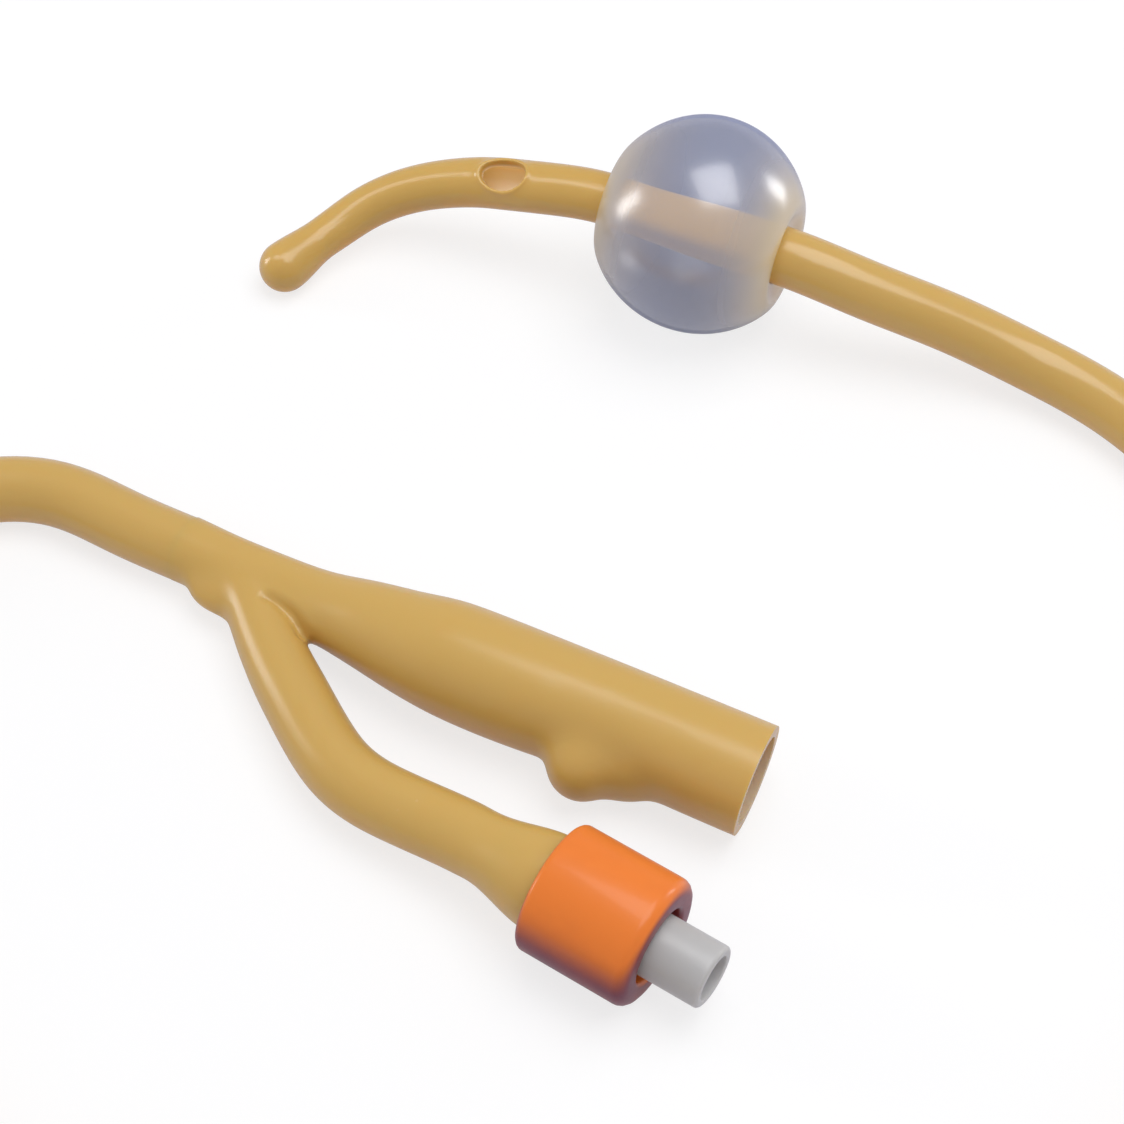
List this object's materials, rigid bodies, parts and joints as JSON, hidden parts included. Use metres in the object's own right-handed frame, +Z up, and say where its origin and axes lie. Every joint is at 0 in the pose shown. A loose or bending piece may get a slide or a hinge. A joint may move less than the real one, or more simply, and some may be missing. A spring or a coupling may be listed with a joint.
{
  "type": "foley urinary catheter",
  "caption": "Two-way latex balloon catheter with a curved olive tip, blown-up balloon, forked drainage funnel and a sprung inflation valve in an orange collar.",
  "frame": {"origin": "on the table, at the bottom centre of the box round all pieces but the shaft", "axes": "+X along the drainage funnel out of its mouth, +Z up from the table that it lies on"},
  "size_m": [0.1323, 0.1225, 0.0206],
  "materials": {
    "latex": "coated amber latex, soft gloss",
    "balloon_film": "thin translucent film",
    "orange_collar": "moulded, satin gloss",
    "natural_plastic": "natural translucent, satin",
    "seal_rubber": "matt",
    "spring_steel": "drawn wire"
  },
  "bodies": {
    "catheter": {"coude_tip": "latex", "shaft": "latex", "balloon": "balloon_film", "funnel": "latex", "size_collar": "orange_collar", "valve_housing": "natural_plastic", "valve_spring": "spring_steel", "tail_plug": "natural_plastic"},
    "plunger": {"valve_plunger": "natural_plastic", "valve_seal": "seal_rubber"}
  },
  "joints": [
    {"name": "plunger_slide", "type": "slide", "parent": "catheter", "child": "plunger", "axis": [-0.9925, 0.1219, 0], "range_m": [0, 0.0012], "stiffness_N_per_m": 300, "springref_m": -0.001, "deforming": ["valve_spring"]}
  ]
}
